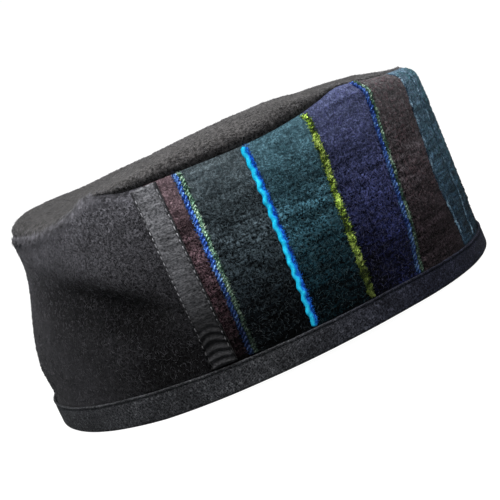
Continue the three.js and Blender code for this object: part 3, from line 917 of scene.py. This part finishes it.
def tube(path_arc, path_along, path_out, radius):
    """Points, faces and map of a closed tube whose middle runs through places on the cloth."""
    turn = np.linspace(0, 2 * np.pi, TUBE_SIDES, endpoint=False)
    across, lift = radius[:, None] * np.cos(turn), TUBE_FLATNESS * radius[:, None] * np.sin(turn)
    along = np.broadcast_to(path_along[:, None], across.shape)
    body = cloth_point(path_arc[:, None] + across, along, path_out[:, None] + lift)
    ends = [0, -1]
    tips = cloth_point(path_arc[ends], path_along[ends], path_out[ends])
    points = np.concatenate([body.reshape(-1, 3), tips])
    coords = np.stack([across, along], -1).reshape(-1, 2)
    coords = np.concatenate([coords, np.stack([np.zeros(2), path_along[ends]], -1)])
    side = np.arange(TUBE_SIDES)
    after = (side + 1) % TUBE_SIDES
    last_ring = (len(path_arc) - 1) * TUBE_SIDES
    start_tip, end_tip = last_ring + TUBE_SIDES, last_ring + TUBE_SIDES + 1
    faces = np.concatenate([
        in_triangles(loop_faces(len(path_arc), TUBE_SIDES, False)),
        np.stack([np.full(TUBE_SIDES, start_tip), after, side], -1),
        np.stack([np.full(TUBE_SIDES, end_tip), last_ring + side, last_ring + after], -1),
    ])
    return points, faces, coords


def joined(name, parts):
    """One mesh from many lots of points, triangles and map coordinates."""
    points, faces, coords = zip(*parts)
    starts = np.cumsum([0, *[len(lot) for lot in points[:-1]]])
    faces = np.concatenate([lot + start for lot, start in zip(faces, starts)])
    return make_mesh(name, np.concatenate(points), faces, np.concatenate(coords))


def make_stitches(name, centre, side):
    """Two rows of short thread stitches, each one dipping into the ribbon at its ends."""
    low_edge, high_edge = ribbon_limits(centre)
    random = np.random.default_rng(61 + side)
    length, pitch, thickness = 1.6, 2.25, 0.2
    t = np.linspace(0, 1, 9)
    parts = []
    for across in (-STITCH_ROW, STITCH_ROW):
        along = low_edge + 1.0
        while along < high_edge - 2.5:
            path_along = along + t * (length + random.uniform(-0.15, 0.15))
            path_across = across + random.uniform(-0.08, 0.08) + 0.12 * (t - 0.5)
            lift = 0.24 * np.sin(np.pi * t) ** 0.6 - 0.12
            path_out = ribbon_out(np.full(t.shape, across), path_along, side) + lift
            radius = thickness * (0.55 + 0.45 * np.sin(np.pi * t) ** 0.5)
            parts.append(tube(arc_at(centre) + path_across, path_along, path_out, radius))
            along += pitch + random.uniform(-0.1, 0.1)
    return joined(name, parts)


for side, (word, centre) in enumerate((("right", JOIN_ANGLE), ("left", -JOIN_ANGLE))):
    ribbon = finish_piece(make_ribbon("ribbed_" + word, centre, side), RIBBON, ["ribbon_" + word])
    stitches = finish_piece(make_stitches("stitches_" + word, centre, side), THREAD)


# Binding
def make_binding():
    columns = 640
    arcs = np.linspace(arc_at(-180), arc_at(180), columns, endpoint=False)[:, None]
    angle = angle_at(arcs)
    inner = FACE + CLOTH + GAP
    back = inner + TAPE
    # each row: offset out from the oval, height as a share of the band, and mm added to that height
    profile = np.array([
        (-2.6, 0, 0.0), (-1.2, 0, 0.0), (-0.5, 0, 0.12), (-0.12, 0, 0.5), (0.0, 0, 1.1), (0.03, 0.3, 0),
        (0.05, 0.5, 0), (0.0, 0.68, 0), (-0.12, 1, -2.2), (-0.3, 1, -1.6), (-0.42, 1, -1.25),
        (-0.28, 1, -1.0), (0.0, 1, -0.75), (0.06, 1, -0.45), (-0.08, 1, -0.18), (-0.4, 1, 0.0),
        (-0.8, 1, -0.1), (-TAPE, 1, -0.5), (-TAPE, 0.5, 0), (-TAPE, 0, FACE),
        (-inner, 0, FACE), (-inner, 0.5, 0), (-inner, 1, -0.4),
        (-inner - 0.5, 1, 0), (-back + 0.1, 1, -0.3), (-back, 0.8, 0), (-back, 0.5, 0), (-back, 0.2, 0),
        (-back + 0.15, 0, 0.5), (-back + 0.6, 0, 0.08), (-3.6, 0, 0.0),
    ])
    offsets, shares, extras = profile.T[:, None, :]
    height = foot_rise(angle) + section("band", angle) * shares + extras
    arc = np.broadcast_to(arcs, height.shape)
    around = arc / arc_at(180) * np.pi

    def ring_noise(middle, reach, seed):
        """Noise that meets itself again once round the cap."""
        return noise(middle + reach * np.cos(around), middle + reach * np.sin(around), seed)

    # the tape wavers a little between its two folds
    outside = offsets > -0.6
    between = np.exp(-((shares - 0.45) / 0.4) ** 2) * (np.abs(extras) < 1.5)
    waver = 0.12 * ring_noise(20, 14, 71) + 0.05 * ring_noise(40, 60, 72) - 0.12
    offset = offsets + np.where(outside, waver * between, 0)
    top_waver = 0.1 * ring_noise(40, 40, 73) * (shares > 0.9) * outside
    points = place(np.broadcast_to(angle, height.shape), offset, height + top_waver)
    across = np.append(0, np.cumsum(np.hypot(np.diff(offsets[0]), np.diff(height[0]))))
    coords = np.stack([arc, np.broadcast_to(across, arc.shape)], -1).reshape(-1, 2)
    return make_mesh("bound_foot", points.reshape(-1, 3), loop_faces(columns, len(profile), True), coords)


binding = finish_piece(make_binding(), BINDING, ["binding"])


# Raised yarns
def make_yarn(index, make, place_of):
    """The plies of one raised yarn, twisted round each other from the binding up to the crown's seam."""
    rough_angle = float(angle_at(place_of))
    low_edge = float(band_top(rough_angle)) + 0.15
    high_edge = float(wall_rise(rough_angle)) - 0.4
    steps = int((high_edge - low_edge) / min(make["pitch"] / 8, 0.3))
    along = np.linspace(low_edge, high_edge, steps)
    wave = make["wave"] * np.sin(2 * np.pi * along / make["wave_length"] + index)
    middle = arc_of_stripe(place_of, along) + wave + 0.15 * noise(along / 6, index * 7.3, 81)
    ends = np.clip(np.minimum(along - low_edge, high_edge - along) / 0.6, 0, 1) ** 0.5
    surface = front_relief(middle, along, np.full_like(along, place_of))
    parts = []
    for ply in range(make["plies"]):
        lump = 1 + make["lumps"] * noise(along / make["lump_length"], index * 5.1 + ply * 3.7, 82)
        lump += 0.5 * make["lumps"] * noise(along / (3 * make["lump_length"]), index * 3.3 + ply, 83)
        turns = along / make["pitch"] + ply / make["plies"]
        twist = 2 * np.pi * turns + 0.6 * noise(along / 5, index * 9.1, 84)
        spread = make["lay"] * (1 + 0.5 * (lump - 1))
        centre_out = surface + 0.25 * make["radius"] + 0.45 * make["lay"] + 0.7 * spread * np.sin(twist)
        radius = make["radius"] * lump * (0.3 + 0.7 * ends)
        parts.append(tube(middle + spread * np.cos(twist), along, centre_out, radius))
    return parts


def surface_at(place_of, first, second, first_step, second_step, outward):
    """Points of a surface with the directions across it, up it and out of it."""
    points = place_of(first, second)
    across = place_of(first + first_step, second) - points
    upward = place_of(first, second + second_step) - points
    normal = np.cross(across, upward)
    normal *= np.sign(np.sum(normal * outward, -1, keepdims=True))
    across, normal = (v / np.linalg.norm(v, axis=-1, keepdims=True) for v in (across, normal))
    upward = np.cross(normal, across) * np.sign(np.sum(np.cross(normal, across) * upward, -1, keepdims=True))
    return points, across, upward, normal


def wall_surface(arc, along, out):
    outward = np.concatenate([normal_of(angle_at(arc)), np.full((len(arc), 1), 0.3)], -1)
    return surface_at(lambda a, b: cloth_point(a, b, out), arc, along, 0.2, -0.2, outward)


def spikes(surface, heading, length, lift, curl, radius):
    """Fine curved fibres as closed tapered spikes that start at points of a surface."""
    roots, across, upward, normal = surface
    rings = []

    def lying(turn):
        return across * np.cos(turn)[:, None] + upward * np.sin(turn)[:, None]

    for station, thick in ((0.0, 1.0), (0.55, 0.85)):
        middle = roots + lying(heading + 0.5 * curl * station) * (length * station)[:, None]
        middle = middle + normal * (lift * np.sin(0.8 * np.pi * station))[:, None]
        beside = lying(heading + curl * station + np.pi / 2)
        for turn in (0, 2 * np.pi / 3, 4 * np.pi / 3):
            reach = (radius * thick)[:, None]
            rings.append(middle + reach * (beside * np.cos(turn) + normal * np.sin(turn)))
    rings.append(roots + lying(heading + 0.5 * curl) * length[:, None] + normal * (0.6 * lift)[:, None])
    faces = [(0, 2, 1)]
    for side in range(3):
        after = (side + 1) % 3
        faces.append((side, after, 3 + after))
        faces.append((side, 3 + after, 3 + side))
        faces.append((3 + side, 3 + after, 6))
    faces = np.array(faces)[None, :, :] + len(rings) * np.arange(len(roots))[:, None, None]
    points = np.stack(rings, 1).reshape(-1, 3)
    return points, faces.reshape(-1, 3), points[:, [0, 2]]


def yarn_fibres(index, make, place_of):
    """The fibres that stand loose on one yarn."""
    random = np.random.default_rng(90 + index)
    count = make["fibres"]
    along = random.uniform(12, 78, count)
    reach = make["lay"] + make["radius"]
    arc = arc_of_stripe(place_of, along) + random.uniform(-reach, reach, count)
    out = front_relief(arc, along, np.full_like(along, place_of)) + make["lay"] * 0.8
    return spikes(
        wall_surface(arc, along, out), random.uniform(0, 2 * np.pi, count),
        make["fibre_length"] * random.uniform(0.5, 1.3, count), random.uniform(0.05, 0.35, count),
        random.uniform(-2.2, 2.2, count), random.uniform(0.05, 0.1, count),
    )


for kind in YARN:
    make = dict(zip(YARN_COLUMNS, YARN_KINDS[kind]))
    parts = []
    for index, (colour, place_of) in enumerate(YARNS):
        if colour == kind:
            parts += [*make_yarn(index, make, place_of), yarn_fibres(index, make, place_of)]
    finish_piece(joined("yarn_" + kind, parts), YARN[kind])


# Nap
random = np.random.default_rng(101)
edge_arc = float(arc_at(JOIN_ANGLE)) + RIBBON_WIDTH / 2
# the back wall's fibres reach from the right join to 33 degrees past the back centre, and its left end
# has none
back_arcs = edge_arc, float(ARCS[-1]) - edge_arc


def nap_piece(name, surface, material, length=(0.8, 2.1), radius=(0.04, 0.085), heading=(0, 2 * np.pi)):
    """A piece of short curled fibres that start at the points of a surface."""
    count = len(surface[0])
    made = make_mesh(name, *spikes(
        surface, random.uniform(*heading, count), random.uniform(*length, count),
        random.uniform(0.05, 0.4, count) ** 1.3, random.uniform(-2.6, 2.6, count),
        random.uniform(*radius, count),
    ))
    return finish_piece(made, material)


def scatter(count, from_arc, to_arc):
    """Places on the wall between two arcs, from the binding up to the crown."""
    arc = random.uniform(from_arc, to_arc, count)
    angle = angle_at(arc)
    low_edge, high_edge = band_top(angle) + 0.8, wall_rise(angle) - 2.2
    along = low_edge + (high_edge - low_edge) * random.uniform(0, 1, count) ** 0.85
    return arc, along


def scatter_at_seam(count):
    """Places on the back wall just under the crown's seam."""
    arc = random.uniform(*back_arcs, count)
    along = wall_rise(angle_at(arc)) - 0.1 - 3.4 * random.uniform(0, 1, count) ** 1.5
    return arc, along, np.zeros(count)


def crown_surface(count, rim_count):
    """Places spread evenly over the crown's top, with more of them along its edge."""
    angle = random.uniform(-180, 180, count + rim_count)
    share = np.sqrt(random.uniform(0.01, 1, count))
    sweep = np.arccos(share ** (section("edge", angle[:count]) / 2)) * 2 / np.pi
    sweep = np.append(np.clip(sweep, 0.03, 0.95), random.uniform(0.004, 0.2, rim_count) ** 1.2)
    points, across, upward, normal = surface_at(
        lambda a, b: crown_point(a, b, 0), angle, sweep, 0.2, 0.004, np.array([0, 0, 1.0]),
    )
    return points + normal * crown_relief(angle, sweep)[:, None], across, upward, normal


BACK_NAP = nap_material("nap_charcoal", srgb(96, 95, 100), BACK_NAP_SHADES)
CROWN_NAP = nap_material("nap_felt", srgb(88, 87, 89), ((0, 1), (SHADE_REACH, 1)))
arc, along = scatter(9000, *back_arcs)
back_nap = nap_piece("nap_back", wall_surface(arc, along, back_relief(arc, along)), BACK_NAP)
# fibres that lie over the seam between the back wall and the crown
seam_nap = nap_piece(
    "nap_seam", wall_surface(*scatter_at_seam(4500)), BACK_NAP,
    length=(1.2, 3.4), radius=(0.05, 0.1), heading=(-0.8, 0.8),
)
crown_nap = nap_piece("nap_crown", crown_surface(5500, 3500), CROWN_NAP, (0.7, 1.8))

# over the striped cloth, a nap for each family of fields
arc, along = scatter(16000, -edge_arc + RIBBON_WIDTH, edge_arc - RIBBON_WIDTH)
stripe = stripe_at(arc, along)
out = front_relief(arc, along, stripe)
field = np.searchsorted([start for start, colour in FIELDS], stripe) - 1
for name, members, colour in (
    ("nap_dark", (2, 9), srgb(98, 116, 124)),
    ("nap_teal", (1, 5, 8), srgb(82, 128, 140)),
    ("nap_navy", (0, 4, 7), srgb(92, 96, 150)),
    ("nap_brown", (3, 6, 10), srgb(122, 98, 104)),
):
    chosen = np.isin(field, members)
    surface = wall_surface(arc[chosen], along[chosen], out[chosen])
    material = nap_material(name, colour, NAP_SHADES)
    nap_piece(name, surface, material, (0.7, 2.0), (0.05, 0.11))


# Stage, light and camera
def make_floor():
    """A white disc just under the cap, in rings out to far beyond the picture."""
    count, below = 96, 0.02
    turn = np.linspace(0, 2 * np.pi, count, endpoint=False)
    circle = np.stack([np.cos(turn), np.sin(turn), np.zeros(count)], -1)
    rings = [radius * circle for radius in (200, 700, 2500, 9000)]
    points = np.concatenate([[[0, 0, 0]], *rings]) - (0, 0, below)
    side = np.arange(count)
    middle = np.stack([np.zeros(count, int), 1 + side, 1 + (side + 1) % count], -1)
    outward = in_triangles(loop_faces(len(rings), count, False)[:, ::-1]) + 1
    return make_mesh("floor", points, np.concatenate([middle, outward]))


def make_backdrop():
    """A large white dome behind everything."""
    columns, rows, radius = 64, 16, 9500
    turn, climb = np.meshgrid(
        np.linspace(0, 2 * np.pi, columns, endpoint=False), np.linspace(-0.1, 1.55, rows), indexing="ij",
    )
    level = np.cos(climb)
    points = radius * np.stack([np.cos(turn) * level, np.sin(turn) * level, np.sin(climb)], -1)
    faces = loop_faces(columns, rows, True)
    return make_mesh("backdrop", points.reshape(-1, 3), faces[faces[:, 0] % rows != rows - 1])


def glowing(name, roughness, specular, strength):
    """The nodes of a material with a white glow."""
    nodes = Nodes(name, roughness, specular)
    nodes.put(nodes.shader.inputs["Emission Color"], WHITE)
    nodes.put(nodes.shader.inputs["Emission Strength"], strength)
    return nodes


def add_light(name, kind, energy, position, target, **settings):
    """A lamp at a place in metres, turned towards another, that the camera doesn't see."""
    light = bpy.data.lights.new(name, kind)
    light.energy = energy
    for setting, value in settings.items():
        setattr(light, setting, value)
    lamp = bpy.data.objects.new(name, light)
    lamp.location = position
    lamp.rotation_euler = (Vector(target) - Vector(position)).to_track_quat("-Z", "Y").to_euler()
    lamp.visible_camera = False
    scene.collection.objects.link(lamp)


floor = make_floor()
nodes = glowing("floor_white", 0.9, 0.0, 0.98)
ground = nodes.mix(nodes.noise(600, 2), (0.09, 0.09, 0.09, 1), (0.1, 0.1, 0.1, 1))
floor.data.materials.append(nodes.finish(ground))
backdrop = make_backdrop()
backdrop.data.materials.append(glowing("backdrop_white", 0.5, 0.5, 1.02).finish((0, 0, 0, 1)))
for sight in ("visible_diffuse", "visible_glossy"):
    setattr(floor, sight, False)
    setattr(backdrop, sight, False)
for sight in ("visible_transmission", "visible_shadow"):
    setattr(backdrop, sight, False)

scene = bpy.context.scene
scene.view_settings.view_transform = "Standard"
world = bpy.data.worlds.new("studio")
world.use_nodes = True
world.node_tree.nodes["Background"].inputs["Color"].default_value = (0.9, 0.95, 1, 1)
world.node_tree.nodes["Background"].inputs["Strength"].default_value = 0.22
scene.world = world
add_light("overhead", "AREA", 2.9, (-0.07, 0.0, 0.34), (-0.04, 0, 0), shape="DISK", size=0.55)
add_light("soft_sky", "SUN", 2.3, (-0.6, -0.15, 1), (0, 0, 0), angle=math.radians(60))

# The camera: how far it stands off in mm, its angles, the point that it looks at in mm across and up,
# its lens in picture widths and its sensor in mm
DISTANCE = 375
AZIMUTH, ELEVATION, ROLL = (math.radians(angle) for angle in (-75.0, 7.3, 24.3))
AIM_ACROSS, AIM_UP = 5.8, 33.5
LENS = 867 / 500
SENSOR = 36

right = Vector((math.cos(AZIMUTH), math.sin(AZIMUTH), 0))
back = Vector((math.sin(AZIMUTH), -math.cos(AZIMUTH), 0)) * math.cos(ELEVATION)
back.z = math.sin(ELEVATION)
up = back.cross(right)
rolled_right = right * math.cos(ROLL) - up * math.sin(ROLL)
rolled_up = right * math.sin(ROLL) + up * math.cos(ROLL)
position = (right * AIM_ACROSS + Vector((0, 0, AIM_UP)) + back * DISTANCE) * MM
camera_data = bpy.data.cameras.new("camera")
camera_data.sensor_width = SENSOR
camera_data.lens = SENSOR * LENS
camera_data.clip_start = 0.01
camera = bpy.data.objects.new("camera", camera_data)
turned = Matrix((rolled_right, rolled_up, back)).transposed().to_4x4()
camera.matrix_world = Matrix.Translation(position) @ turned
scene.collection.objects.link(camera)
scene.camera = camera
